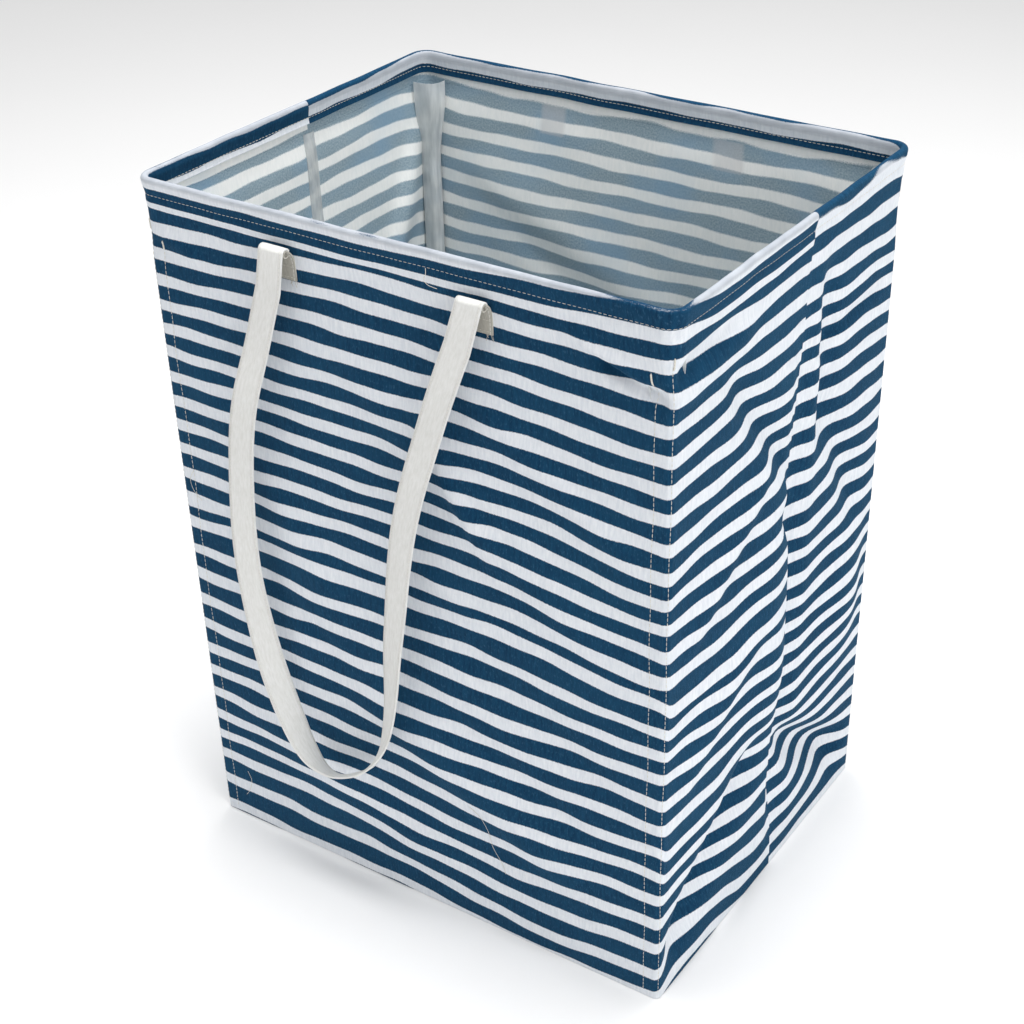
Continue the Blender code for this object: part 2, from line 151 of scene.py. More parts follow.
FRONT_CREASES = (
    # the front face: start (u, z), end (u, z), width, height, lean
    ((-0.04, 0.46), (0.15, 0.30), 0.020, 0.0042, 0.3),
    ((0.05, 0.47), (0.19, 0.37), 0.012, 0.0034, -0.3),
    ((0.01, 0.450), (0.075, 0.335), 0.008, 0.0028, 0.4),
    ((0.035, 0.405), (0.110, 0.345), 0.006, -0.0020, 0),
    ((-0.015, 0.335), (0.060, 0.290), 0.006, 0.0016, 0),
    ((-0.19, 0.43), (-0.06, 0.25), 0.018, 0.0032, 0),
    ((-0.18, 0.300), (-0.07, 0.210), 0.008, -0.0018, 0),
    ((-0.05, 0.19), (0.14, 0.08), 0.022, 0.0055, 0.3),
    ((0.02, 0.205), (0.15, 0.130), 0.008, -0.0020, 0),
    ((-0.17, 0.12), (0.02, 0.05), 0.018, 0.0035, 0),
    ((0.02, 0.28), (0.18, 0.17), 0.016, -0.0028, 0),
    # shoulders: puckers between the hoop's corner and the rods
    ((0.140, 0.529), (0.192, 0.506), 0.0055, 0.0060, 0.3),
    ((0.158, 0.515), (0.206, 0.497), 0.0055, -0.0060, 0),
    ((-0.204, 0.522), (-0.165, 0.508), 0.0070, 0.0030, 0),
    ((0.214, 0.513), (0.290, 0.530), 0.0080, -0.0055, 0),
    ((0.216, 0.498), (0.310, 0.512), 0.0100, 0.0045, 0),
    # right side, front half: the folded triangle at the foot, and kinks beside the seam
    ((0.222, 0.030), (0.350, 0.150), 0.018, -0.0130, -0.2),
    ((0.240, 0.30), (0.345, 0.40), 0.014, 0.0040, 0.3),
    ((0.225, 0.17), (0.330, 0.27), 0.016, 0.0035, 0.3),
    ((0.290, 0.482), (0.388, 0.365), 0.014, -0.0075, 0),
    # left side, front half
    ((-0.235, 0.36), (-0.360, 0.20), 0.016, 0.0050, 0),
    ((-0.225, 0.03), (-0.355, 0.14), 0.018, -0.0100, 0),
)
FRONT_BELLIES = (
    # middle (u, z), reach (u, z), height
    ((-0.02, 0.20), (0.13, 0.13), 0.0040),
    ((0.350, 0.27), (0.035, 0.10), 0.0100),
    ((0.290, 0.24), (0.045, 0.13), 0.0040),
    ((0.377, 0.335), (0.010, 0.012), -0.0060),
    ((0.360, 0.20), (0.020, 0.05), 0.0060),
    ((-0.330, 0.27), (0.060, 0.15), -0.0060),
)
BACK_CREASES = (
    ((-0.16, 0.47), (0.04, 0.36), 0.022, -0.0040, 0.3),
    ((-0.12, 0.42), (0.08, 0.28), 0.018, 0.0045, 0.3),
    ((0.02, 0.40), (0.17, 0.30), 0.020, 0.0030, 0),
    # right side, rear half: a valley beside the seam that turns to the corner
    ((0.322, 0.510), (0.311, 0.370), 0.014, -0.0065, 0),
    ((0.316, 0.410), (0.245, 0.280), 0.017, -0.0070, 0),
    ((0.330, 0.450), (0.215, 0.464), 0.006, -0.0035, 0),
    ((0.228, 0.035), (0.356, 0.125), 0.018, -0.0150, -0.2),
    # left side, rear half
    ((-0.222, 0.500), (-0.300, 0.330), 0.016, -0.0075, 0.3),
    ((-0.235, 0.420), (-0.330, 0.240), 0.016, 0.0050, 0),
    ((-0.226, 0.035), (-0.350, 0.125), 0.018, -0.0110, 0),
)
BACK_BELLIES = (
    ((0.03, 0.22), (0.14, 0.14), 0.0040),
    ((0.344, 0.42), (0.013, 0.09), 0.0045),
    ((0.262, 0.21), (0.034, 0.07), 0.0085),
    ((-0.320, 0.25), (0.050, 0.14), -0.0040),
)


def relief(u, z, face):
    """How far a cloth stands out from the flat wall: its folds, its bellies and a slack ripple.

    All three die out at the base, at the hem, beside the tops of the rods and at the side seams.
    """
    front = face < 0
    out = 0.0
    for start, end, width, height, lean in FRONT_CREASES if front else BACK_CREASES:
        out = out + crease(u, z, start, end, width, height, lean)
    for (u_mid, z_mid), (u_reach, z_reach), height in FRONT_BELLIES if front else BACK_BELLIES:
        out = out + height * hump(u, u_mid, u_reach) * hump(z, z_mid, z_reach)
    if front:
        slack = 0.0006 * ripple(u, z, 0.16, 0.7) + 0.0002 * ripple(u, z, 0.05, 2.2)
    else:
        slack = 0.0007 * ripple(u, z, 0.15, 3.9) + 0.0002 * ripple(u, z, 0.05, 5.1)
    held = rise(z, 0.0, 0.018) * rise(WALL_TOP - z, 0.0, 0.022)
    near_rod = 1 - hump(np.abs(u), WALL_X, 0.022) * rise(WALL_TOP - z, 0.035, 0.060)
    end = FRONT_END if front else BACK_END
    edge = rise(np.abs(u), end - (0.016 if front else 0.030), end)
    dip = np.where(u > 0, seam_dip(z, 1), seam_dip(z, -1))
    return (out + slack) * held * near_rod * (1 - edge) + dip * edge + flare(z)


def wall_surface(u, z, face, lift=0.0):
    """A point of the wall's outer face: the base line moved out by the relief, and by lift as well."""
    place, direction = base_line(u, z, face)
    return place + direction * (relief(u, z, face) + lift)[..., None]


def unit(v):
    """Vectors brought to length 1."""
    return v / np.maximum(np.linalg.norm(v, axis=-1, keepdims=True), 1e-12)


# ---------------------------------------------------------------- the printed stripes
def front_print(u, v):
    """Stripe number and half width of the front cloth's hand-drawn stripes.

    The number is the distance down from the top stripe over a pitch that grows from 19.5 to 21.4 mm,
    so that whole numbers are the middles of the navy stripes. It drifts with u as a drawn line does.
    """
    rim = rise(v, 0.534, 0.547)
    v = v + rim * (0.0065 - 0.0075 * rise(u, 0.02, 0.20) + 0.0080 * rise(u, 0.212, 0.265)
                   - 0.0030 * rise(u, 0.30, 0.385)) - 0.0060 * rise(v, 0.558, 0.565)
    low = 1 - rim
    v = v + low * (0.0080 * rise(u, 0.05, 0.20) * hump(v, 0.37, 0.13)
                   - 0.0085 * (1 - rise(u, 0.08, 0.20)) * hump(v, 0.32, 0.10)
                   - 0.0040 * hump(u, -0.03, 0.10) * hump(v, 0.50, 0.04)
                   + 0.0080 * hump(u, 0.10, 0.06) * hump(v, 0.05, 0.05)
                   - 0.0070 * (1 - rise(u, -0.06, 0.00)) * hump(v, 0.062, 0.030)
                   + 0.0050 * hump(u, 0.03, 0.05) * hump(v, 0.10, 0.03)
                   + 0.0055 * hump(u, 0.10, 0.07) * hump(v, 0.18, 0.07)
                   + 0.0050 * rise(u, -0.03, 0.05) * hump(v, 0.01, 0.03)
                   - 0.0035 * hump(u, -0.17, 0.05) * hump(v, 0.41, 0.03)
                   + 0.0030 * rise(u, 0.22, 0.30) * hump(v, 0.22, 0.10)
                   + 0.0080 * rise(u, 0.205, 0.225) * (1 - rise(u, 0.29, 0.33)) * hump(v, 0.255, 0.035)
                   + 0.0090 * rise(u, 0.205, 0.225) * (1 - rise(u, 0.29, 0.33)) * hump(v, 0.135, 0.030)
                   - 0.0085 * rise(u, 0.205, 0.240) * (1 - rise(u, 0.28, 0.34)) * (1 - rise(v, 0.050, 0.110))
                   + 0.0080 * rise(u, 0.310, 0.370) * (1 - rise(v, 0.00, 0.17)))
    down = 0.5520 - v
    number = down / (0.0195 + 0.00355 * np.maximum(down, 0))
    number = number + 0.035 * np.sin(u / 0.034 + 1.3 * number) + 0.020 * np.sin(u / 0.012 + 2.1 * number)
    stripe = np.round(number)
    half = 0.272 + 0.012 * rise(stripe, 13, 16) + 0.020 * np.sin(u / 0.016 + 1.9 * stripe)
    half = half + 0.012 * np.sin(u / 0.0065 + 2.9 * stripe)
    around = rise(u, 0.19, 0.24)
    half = np.where(stripe == 0, 0.335 + 0.045 * hump(u, -0.01, 0.07) + 0.07 * rise(u, 0.20, 0.26), half)
    half = np.where(stripe == 13, half - 0.085 + 0.13 * around, half)
    half = np.where(stripe == 14, half + 0.060 - 0.15 * around, half)
    half = np.where(stripe == 25, half + 0.06 * (1 - rise(u, 0, 0.1)), half)
    thin = 0.50 * hump(u, -0.005, 0.090) + 0.45 * hump(u, 0.285, 0.045) + 0.3 * hump(u, -0.30, 0.05)
    half = np.where(stripe == 1, half * (1 - thin) * 0.96, half)
    return number, half


def back_print(u, v):
    """Stripe number and half width of the back cloth, cut half a pitch off the front one."""
    v = v + 0.0090 * (1 - rise(np.abs(u), 0.17, 0.26)) * rise(0.56 - v, 0.005, 0.03)
    v = v + 0.0080 * rise(u, 0.24, 0.34) * hump(v, 0.16, 0.10)
    v = v + rise(u, 0.18, 0.24) * (0.0140 * hump(v, 0.30, 0.10) + 0.0085 * hump(v, 0.495, 0.035))
    v = v - hump(v, 0.563, 0.008) * (0.0075 * rise(u, 0.200, 0.225) + 0.0030 * rise(-u, 0.20, 0.32))
    down = 0.5578 - v
    number = down / (0.0203 + 0.0011 * np.maximum(down, 0))
    number = number + 0.035 * np.sin(u / 0.031 + 1.7 * number) + 0.020 * np.sin(u / 0.013 + 2.5 * number)
    stripe = np.round(number)
    half = 0.272 + 0.022 * np.sin(u / 0.015 + 2.3 * stripe) + 0.012 * np.sin(u / 0.006 + 1.1 * stripe)
    half = np.where(stripe == -1, half * 0.72, half)
    return number, half


def printed(u, v, face):
    """Stripe number and half width on the front cloth (face -1) or the back one (face 1)."""
    return front_print(u, v) if face < 0 else back_print(u, v)


# ---------------------------------------------------------------- meshes
def new_piece(name, points, faces, materials, maps, face_material=None, sharp=None):
    """A mesh object at the origin from points and faces, with its UV maps given point by point."""
    mesh = bpy.data.meshes.new(name)
    mesh.from_pydata(points.reshape(-1, 3).tolist(), [], faces)
    mesh.update(calc_edges=True)
    for material in materials:
        mesh.materials.append(material)
    corner = np.zeros(len(mesh.loops), np.int32)
    mesh.loops.foreach_get("vertex_index", corner)
    for title, values in maps.items():
        layer = mesh.uv_layers.new(name=title)
        layer.data.foreach_set("uv", values.reshape(-1, 2)[corner].astype(np.float32).ravel())
    if face_material is not None:
        mesh.polygons.foreach_set("material_index", face_material.astype(np.int32))
    mesh.polygons.foreach_set("use_smooth", np.ones(len(mesh.polygons), bool))
    if sharp is not None:
        ends = np.zeros(len(mesh.edges) * 2, np.int32)
        mesh.edges.foreach_get("vertices", ends)
        ends = ends.reshape(-1, 2)
        hard = (sharp[ends[:, 0]] >= 0) & (sharp[ends[:, 0]] == sharp[ends[:, 1]])
        attribute = mesh.attributes.new("sharp_edge", "BOOLEAN", "EDGE")
        attribute.data.foreach_set("value", hard)
    piece = bpy.data.objects.new(name, mesh)
    bpy.context.scene.collection.objects.link(piece)
    return piece


def grid_faces(rows, cols, first=0, wrap_rows=False, wrap_cols=False, flip=False):
    """The quads of a grid of points, in order; wrap joins the last row or column to the first."""
    r = np.arange(rows if wrap_rows else rows - 1)
    c = np.arange(cols if wrap_cols else cols - 1)
    r, c = np.meshgrid(r, c, indexing="ij")
    r, c = r.ravel(), c.ravel()
    up, right = (r + 1) % rows, (c + 1) % cols
    quads = np.stack([r * cols + c, r * cols + right, up * cols + right, up * cols + c], axis=1) + first
    return quads[:, ::-1] if flip else quads


def cloth_sheet(name, outer, maps, thickness, materials, flip=False):
    """A sheet of cloth: the outer face, a second face set back along its normal, and its cut edges."""
    rows, cols = outer.shape[:2]
    normal = unit(np.cross(np.gradient(outer, axis=1), np.gradient(outer, axis=0)))
    normal = -normal if flip else normal
    inner = outer - thickness * normal
    count = rows * cols
    front = grid_faces(rows, cols, 0, flip=flip)
    back = grid_faces(rows, cols, count, flip=not flip)
    index = np.arange(count).reshape(rows, cols)
    border = np.concatenate([index[0, :-1], index[:-1, -1], index[-1, :0:-1], index[:0:-1, 0]])
    following = np.roll(border, -1)
    edge = np.stack([following, border, border + count, following + count], axis=1)
    edge = edge[:, ::-1] if flip else edge
    faces = np.concatenate([front, back, edge])
    which = np.concatenate([np.zeros(len(front)), np.ones(len(back)), np.zeros(len(edge))])
    sharp = np.full(2 * count, -1)
    sharp[border] = 0
    sharp[border + count] = 1
    doubled = {title: np.concatenate([m.reshape(-1, 2), m.reshape(-1, 2)]) for title, m in maps.items()}
    return new_piece(name, np.concatenate([outer.reshape(-1, 3), inner.reshape(-1, 3)]), faces.tolist(),
                     materials, doubled, which, sharp)


def carried_profile(name, path, side, up, profile, material, along_map, closed=False):
    """A closed profile of (side, up) offsets carried along a path of points, with flat ends."""
    count, ring = len(path), len(profile)
    points = (path[:, None, :] + profile[None, :, :1] * side[:, None, :]
              + profile[None, :, 1:] * up[:, None, :])
    faces = grid_faces(count, ring, wrap_rows=closed, wrap_cols=True).tolist()
    if not closed:
        faces.append(list(range(ring))[::-1])
        faces.append(list(range((count - 1) * ring, count * ring)))
    across = np.broadcast_to(profile[None, :, 0], (count, ring))
    length = np.broadcast_to(along_map[:, None], (count, ring))
    maps = {"cloth": np.stack([across, length], axis=-1)}
    return new_piece(name, points, faces, [material], maps)


def run_length(path):
    """Distance from the start of a path to each of its points."""
    return np.concatenate([[0], np.cumsum(np.linalg.norm(np.diff(path, axis=0), axis=1))])


def stitch_row(name, path, normal, material, stitch=0.0027, gap=0.0011, thick=0.00032, wander=0.0):
    """A row of sewing stitches: one small five-sided spindle for each stitch along the path."""
    length = run_length(path)
    middles = np.arange(stitch / 2, length[-1] - stitch / 2, stitch + gap)
    place = np.stack([np.interp(middles, length, path[:, k]) for k in range(3)], axis=1)
    ahead = np.stack([np.interp(middles + 0.001, length, path[:, k]) for k in range(3)], axis=1)
    behind = np.stack([np.interp(middles - 0.001, length, path[:, k]) for k in range(3)], axis=1)
    along = unit(ahead - behind)
    up = unit(np.stack([np.interp(middles, length, normal[:, k]) for k in range(3)], axis=1))
    side = unit(np.cross(along, up))
    place = place + side * (wander * np.sin(middles / 0.013 + 1.0))[:, None]
    turn = np.arange(5) * math.tau / 5
    rings = np.array([[-0.5, 0.35, -0.5], [-0.25, 1.0, 0.2], [0.25, 1.0, 0.2], [0.5, 0.35, -0.5]])
    a = (rings[:, :1] * stitch * np.ones(5)).ravel()
    s = (rings[:, 1:2] * thick * np.cos(turn)).ravel()
    h = (rings[:, 1:2] * thick * np.sin(turn) + rings[:, 2:] * thick).ravel()
    points = (place[:, None, :] + a[None, :, None] * along[:, None, :] + s[None, :, None] * side[:, None, :]
              + h[None, :, None] * up[:, None, :])
    one = grid_faces(4, 5, wrap_cols=True)
    faces = (one[None] + (np.arange(len(middles)) * 20)[:, None, None]).reshape(-1, 4)[:, ::-1].tolist()
    starts = np.arange(len(middles)) * 20
    faces += (starts[:, None] + np.arange(5)[None, :]).tolist()
    faces += (starts[:, None] + np.arange(19, 14, -1)[None, :]).tolist()
    flat = np.zeros((points.shape[0] * points.shape[1], 2))
    return new_piece(name, points, faces, [material], {"cloth": flat})


def through(stops):
    """A smooth run through the stops (Catmull-Rom), twelve steps from each to the next."""
    padded = np.concatenate([stops[:1], stops, stops[-1:]])
    t = np.linspace(0, len(stops) - 1, 12 * (len(stops) - 1) + 1)
    k = np.clip(t.astype(int), 0, len(stops) - 2)
    f = (t - k)[:, None]
    a, b, c, d = padded[k], padded[k + 1], padded[k + 2], padded[k + 3]
    return 0.5 * (2 * b + (c - a) * f + (2 * a - 5 * b + 4 * c - d) * f ** 2
                  + (3 * b - a - 3 * c + d) * f ** 3)


def thread_end(name, stops, material, thick):
    """A loose thread: a thin six-sided tube on a smooth curve through a few stops."""
    path = through(np.array(stops, float))
    along = unit(np.gradient(path, axis=0))
    side = unit(np.cross(along, np.array([0.3, 0.5, 0.81])))
    up = np.cross(side, along)
    turn = np.arange(6) * math.tau / 6
    profile = thick * np.stack([np.cos(turn), np.sin(turn)], axis=1)
    return carried_profile(name, path, side, up, profile, material, run_length(path))


# ---------------------------------------------------------------- finishes
class Finish:
    """One material, built up node by node."""

    def __init__(self, name, **constants):
        self.material = bpy.data.materials.new(name)
        self.material.use_nodes = True
        self.tree = self.material.node_tree
        self.shader = self.tree.nodes["Principled BSDF"]
        for socket, value in constants.items():
            self.shader.inputs[socket.replace("_", " ")].default_value = value

    def node(self, kind, settings=None, **inputs):
        made = self.tree.nodes.new(kind)
        for key, value in (settings or {}).items():
            setattr(made, key, value)
        for key, value in inputs.items():
            socket = made.inputs[int(key[1:])] if key[0] == "i" and key[1:].isdigit() \
                else made.inputs[key.replace("_", " ")]
            self.feed(socket, value)
        return made

    def feed(self, socket, value):
        if isinstance(value, bpy.types.NodeSocket):
            self.tree.links.new(value, socket)
        else:
            socket.default_value = value

    def math(self, operation, a, b=0.0, c=0.0):
        return self.node("ShaderNodeMath", {"operation": operation}, i0=a, i1=b, i2=c).outputs[0]

    def mapped(self, value, low, high, to_low=0.0, to_high=1.0):
        return self.node("ShaderNodeMapRange", None, Value=value, From_Min=low, From_Max=high,
                         To_Min=to_low, To_Max=to_high).outputs[0]

    def mix(self, share, a, b):
        made = self.node("ShaderNodeMix", {"data_type": "RGBA"})
        self.feed(made.inputs[0], share)
        self.feed(made.inputs[6], a)
        self.feed(made.inputs[7], b)
        return made.outputs[2]

    def uv(self, title):
        return self.node("ShaderNodeUVMap", {"uv_map": title}).outputs[0]

    def stretched(self, vector, x, y, z=1.0):
        return self.node("ShaderNodeMapping", None, Vector=vector, Scale=(x, y, z)).outputs[0]

    def noise(self, vector, scale, detail=2.0, rough=0.5):
        return self.node("ShaderNodeTexNoise", None, Vector=vector, Scale=scale, Detail=detail,
                         Roughness=rough).outputs["Fac"]

    def threads(self, vector, pitch):
        """Plain weave: warp and weft rows, each a sine across the cloth, crossing over and under."""
        split = self.node("ShaderNodeSeparateXYZ", None, Vector=vector)
        step = math.tau / pitch
        across = self.math("SINE", self.math("MULTIPLY", split.outputs[0], step))
        along = self.math("SINE", self.math("MULTIPLY", split.outputs[1], step))
        return self.math("MULTIPLY", across, along)

    def bump(self, height, distance, strength=1.0, under=None):
        made = self.node("ShaderNodeBump", None, Height=height, Distance=distance, Strength=strength)
        if under is not None:
            self.feed(made.inputs["Normal"], under)
        return made.outputs[0]

    def shade(self, **links):
        for socket, value in links.items():
            self.feed(self.shader.inputs[socket.replace("_", " ")], value)
        return self.material


def stripe_share(finish, softness, bleed):
    """1 on a navy stripe, 0 between: distance to the nearest whole stripe number against its half width."""
    split = finish.node("ShaderNodeSeparateXYZ", None, Vector=finish.uv("stripes"))
    number, half = split.outputs[0], split.outputs[1]
    past = finish.math("FRACT", finish.math("ADD", number, 40.5))
    nearest = finish.math("ABSOLUTE", finish.math("SUBTRACT", past, 0.5))
    fibres = finish.noise(finish.stretched(finish.uv("cloth"), 1.0, 1.6), 900, 3.0, 0.6)
    feather = finish.mapped(fibres, 0.3, 0.7, -bleed, bleed)
    gap = finish.math("ADD", finish.math("SUBTRACT", half, nearest), feather)
    return finish.mapped(gap, -softness, softness)


def striped_canvas():
    """White canvas, navy ink stripes: plain weave, slubs, pale flecks in the ink, and painted shade greying
    the roll, partly wear.
    """
    f = Finish("striped_canvas", Roughness=0.92, Specular_IOR_Level=0.08,
               Sheen_Weight=0.10, Sheen_Roughness=0.4, Sheen_Tint=(0.35, 0.75, 1.0, 1.0))
    cloth = f.uv("cloth")
    navy = stripe_share(f, 0.012, 0.016)
    slub = f.noise(f.stretched(cloth, 1.0, 0.16), 520, 3.0, 0.65)
    weft = f.noise(f.stretched(cloth, 0.14, 1.0), 480, 3.0, 0.6)
    cloudy = f.noise(cloth, 9, 2.0)
    fleck = f.mapped(f.noise(f.stretched(cloth, 1.0, 0.35), 820, 2.0, 0.7), 0.56, 0.76)
    white = f.mix(f.mapped(slub, 0.3, 0.7), srgb(216, 221, 228), srgb(234, 237, 241))
    white = f.mix(f.math("MULTIPLY", f.mapped(weft, 0.55, 0.8), 0.35), white, srgb(208, 214, 221))
    ink = f.mix(f.mapped(slub, 0.3, 0.72), srgb(12, 50, 78), srgb(22, 67, 98))
    ink = f.mix(f.math("MULTIPLY", fleck, 0.30), ink, srgb(84, 128, 160))
    ink = f.mix(f.math("MULTIPLY", f.mapped(cloudy, 0.45, 0.7), 0.25), ink, srgb(30, 78, 108))
    up = f.node("ShaderNodeSeparateXYZ", None, Vector=cloth).outputs[1]
    # painted shade: the white on the rolled hem is greyed and mottled, darker than the lamps leave it, partly
    # wear as well
    rolled = f.mapped(f.math("ABSOLUTE", f.math("SUBTRACT", up, ROLL_MIDDLE)), 0.0045, 0.0075, 1.0, 0.0)
    roll_shade_and_wear = f.math("MULTIPLY", rolled, f.mapped(f.noise(cloth, 60, 3.0), 0.3, 0.7, 0.75, 1.0))
    white = f.mix(roll_shade_and_wear, white, srgb(164, 169, 177))
    weave = f.threads(cloth, 0.00095)
    height = f.math("ADD", f.math("MULTIPLY", weave, 0.5), f.math("ADD", slub, f.math("MULTIPLY", weft, 0.8)))
    return f.shade(Base_Color=f.mix(navy, white, ink), Normal=f.bump(height, 0.00028, 0.55))


def coated_lining():
    """The inside: a thin clear coating over the cloth's back, the stripes showing through in slate grey."""
    f = Finish("coated_lining", Roughness=0.52, Specular_IOR_Level=0.35)
    cloth = f.uv("cloth")
    navy = stripe_share(f, 0.030, 0.030)
    behind = f.node("ShaderNodeSeparateXYZ", None, Vector=f.uv("backing")).outputs[0]
    slub = f.noise(f.stretched(cloth, 1.0, 0.2), 420, 3.0, 0.65)
    cloudy = f.noise(cloth, 16, 3.0)
    speck = f.noise(cloth, 700, 2.0, 0.7)
    pale = f.mix(f.mapped(slub, 0.3, 0.7), srgb(236, 238, 236), srgb(247, 247, 244))
    pale = f.mix(f.math("MULTIPLY", f.mapped(cloudy, 0.5, 0.75), 0.5), pale, srgb(222, 231, 236))
    slate = f.mix(f.mapped(speck, 0.35, 0.65), srgb(124, 146, 158), srgb(160, 177, 186))
    slate = f.mix(f.math("MULTIPLY", f.mapped(cloudy, 0.42, 0.7), 0.6), slate, srgb(122, 158, 186))
    colour = f.mix(navy, pale, slate)
    colour = f.mix(f.math("MULTIPLY", behind, 0.42), colour, srgb(204, 201, 200))
    weave = f.threads(cloth, 0.00095)
    height = f.math("ADD", f.math("MULTIPLY", weave, 0.35), slub)
    return f.shade(Base_Color=colour, Normal=f.bump(height, 0.0002, 0.4))


def strap_webbing(name, light, dark):
    """Unbleached canvas strap: plain weave, edge stitching 1.5 mm in from both sides, painted shade greying
    the stitched grooves.
    """
    f = Finish(name, Roughness=0.9, Specular_IOR_Level=0.2, Sheen_Weight=0.1, Sheen_Roughness=0.5)
    cloth = f.uv("cloth")
    split = f.node("ShaderNodeSeparateXYZ", None, Vector=cloth)
    edge = f.math("ABSOLUTE", f.math("SUBTRACT", f.math("ABSOLUTE", split.outputs[0]), 0.0087))
    dash = f.math("FRACT", f.math("MULTIPLY", split.outputs[1], 330))
    sewn = f.math("MULTIPLY", f.mapped(edge, 0.00022, 0.00045, 1.0, 0.0),
                  f.mapped(dash, 0.74, 0.80, 1.0, 0.0))
    groove_and_shade = f.mapped(edge, 0.0003, 0.0012, 1.0, 0.0)
    slub = f.noise(f.stretched(cloth, 1.0, 0.2), 620, 3.0, 0.65)
    cloudy = f.noise(cloth, 45, 3.0)
    colour = f.mix(f.mapped(slub, 0.3, 0.7), dark, light)
    colour = f.mix(f.math("MULTIPLY", f.mapped(cloudy, 0.5, 0.75), 0.3), colour, dark)
    # painted shade: the colour is greyed along the stitched grooves, where they lie in shade
    colour = f.mix(f.math("MULTIPLY", groove_and_shade, 0.22), colour, srgb(176, 176, 170))
    colour = f.mix(f.math("MULTIPLY", sewn, 0.7), colour, srgb(240, 238, 232))
    weave = f.threads(cloth, 0.0010)
    height = f.math("ADD", f.math("MULTIPLY", weave, 0.6), f.math("MULTIPLY", slub, 0.6))
    height = f.math("SUBTRACT", height, f.math("MULTIPLY", groove_and_shade, 1.4))
    height = f.math("ADD", height, f.math("MULTIPLY", sewn, 1.6))
    return f.shade(Base_Color=colour, Normal=f.bump(height, 0.00032, 0.7))


def milky_tape(name, cover):
    """Milky, half clear tape; cover is how much of what lies behind it hides, least and most."""
    f = Finish(name, Roughness=0.38, Specular_IOR_Level=0.45)
    cloth = f.uv("cloth")
    split = f.node("ShaderNodeSeparateXYZ", None, Vector=cloth)
    edge = f.mapped(f.math("ABSOLUTE", split.outputs[0]), 0.0095, 0.0125)
    crinkle = f.noise(f.stretched(cloth, 1.0, 0.18), 130, 3.0)
    bands = f.mapped(f.noise(f.stretched(cloth, 0.01, 1.0), 46, 1.0), 0.45, 0.62)
    colour = f.mix(f.mapped(crinkle, 0.35, 0.65), srgb(206, 211, 212), srgb(232, 234, 232))
    colour = f.mix(f.math("MULTIPLY", bands, 0.35), colour, srgb(190, 200, 208))
    colour = f.mix(f.math("MULTIPLY", edge, 0.5), colour, srgb(236, 238, 238))
    clear = f.mapped(crinkle, 0.3, 0.7, *cover)
    return f.shade(Base_Color=colour, Alpha=clear, Normal=f.bump(crinkle, 0.0006, 0.5))


def sewing_thread(name, colour, shade):
    """Twisted sewing thread."""
    f = Finish(name, Roughness=0.75, Specular_IOR_Level=0.3)
    place = f.node("ShaderNodeTexCoord").outputs["Object"]
    twist = f.noise(place, 1400, 2.0)
    return f.shade(Base_Color=f.mix(f.mapped(twist, 0.35, 0.65), shade, colour),
                   Normal=f.bump(twist, 0.0001, 0.5))


def drawn_steel():
    """Drawn spring-steel wire, finely scratched along its length."""
    f = Finish("drawn_steel", Metallic=1.0)
    place = f.node("ShaderNodeTexCoord").outputs["Object"]
    scratch = f.noise(f.stretched(place, 0.2, 0.2, 6.0), 300, 3.0)
    return f.shade(Base_Color=f.mix(f.mapped(scratch, 0.3, 0.7), srgb(150, 152, 155), srgb(188, 190, 192)),
                   Roughness=f.mapped(scratch, 0.3, 0.7, 0.28, 0.42), Normal=f.bump(scratch, 0.00005, 0.3))


def glass_fibre():
    """Pale pultruded glass-fibre rod, fibres running along it."""
    f = Finish("glass_fibre", Specular_IOR_Level=0.5)
    place = f.node("ShaderNodeTexCoord").outputs["Object"]
    fibres = f.noise(f.stretched(place, 1.0, 1.0, 0.02), 1800, 3.0)
    return f.shade(Base_Color=f.mix(f.mapped(fibres, 0.3, 0.7), srgb(196, 200, 190), srgb(226, 228, 220)),
                   Roughness=f.mapped(fibres, 0.3, 0.7, 0.30, 0.46), Normal=f.bump(fibres, 0.00008, 0.4))


def moulded_cap():
    """White moulded plastic with a fine matt skin."""
    f = Finish("moulded_cap", Specular_IOR_Level=0.5)
    place = f.node("ShaderNodeTexCoord").outputs["Object"]
    skin = f.noise(place, 2600, 2.0)
    return f.shade(Base_Color=f.mix(f.mapped(skin, 0.35, 0.65), srgb(214, 216, 216), srgb(230, 231, 230)),
                   Roughness=f.mapped(skin, 0.3, 0.7, 0.38, 0.52), Normal=f.bump(skin, 0.00004, 0.4))


CANVAS = striped_canvas()
LINING = coated_lining()
STRAP = strap_webbing("strap_canvas", srgb(238, 238, 236), srgb(225, 225, 221))
# painted shade: the sewn strap ends take a darker copy of the strap canvas, for the shade they lie in under
# the fold
SHADED_TAB_CANVAS = strap_webbing("tab_canvas_painted_shade", srgb(206, 203, 193), srgb(178, 174, 163))
TAPE = milky_tape("sleeve_tape", (0.62, 0.86))
ALLOWANCE = milky_tape("seam_allowance", (0.35, 0.60))
THREAD = sewing_thread("white_thread", srgb(232, 230, 222), srgb(202, 198, 186))
STEEL = drawn_steel()
FIBRE = glass_fibre()
CAP = moulded_cap()

# ---------------------------------------------------------------- walls
STEP = 0.0036


def run_of_u(end):
    """Columns of a wall from one side seam to the other, closer round the corners and at the seams."""
    a, b = WALL_X - NOMINAL_CORNER, WALL_X + NOMINAL_CORNER
    side = np.linspace(b, end - 0.018, int((end - 0.018 - b) / STEP))[1:]
    hem = np.linspace(end - 0.018, end, 13)[1:]
    half = np.concatenate([np.linspace(0, a, int(a / STEP)), np.linspace(a, b, 12)[1:], side, hem])
    return np.concatenate([-half[:0:-1], half])


def run_of_z():
    """Rows of a wall from the base to the hem, closer together under the hem."""
    return np.concatenate([np.linspace(0, 0.480, 134), np.linspace(0.480, WALL_TOP, 34)[1:]])


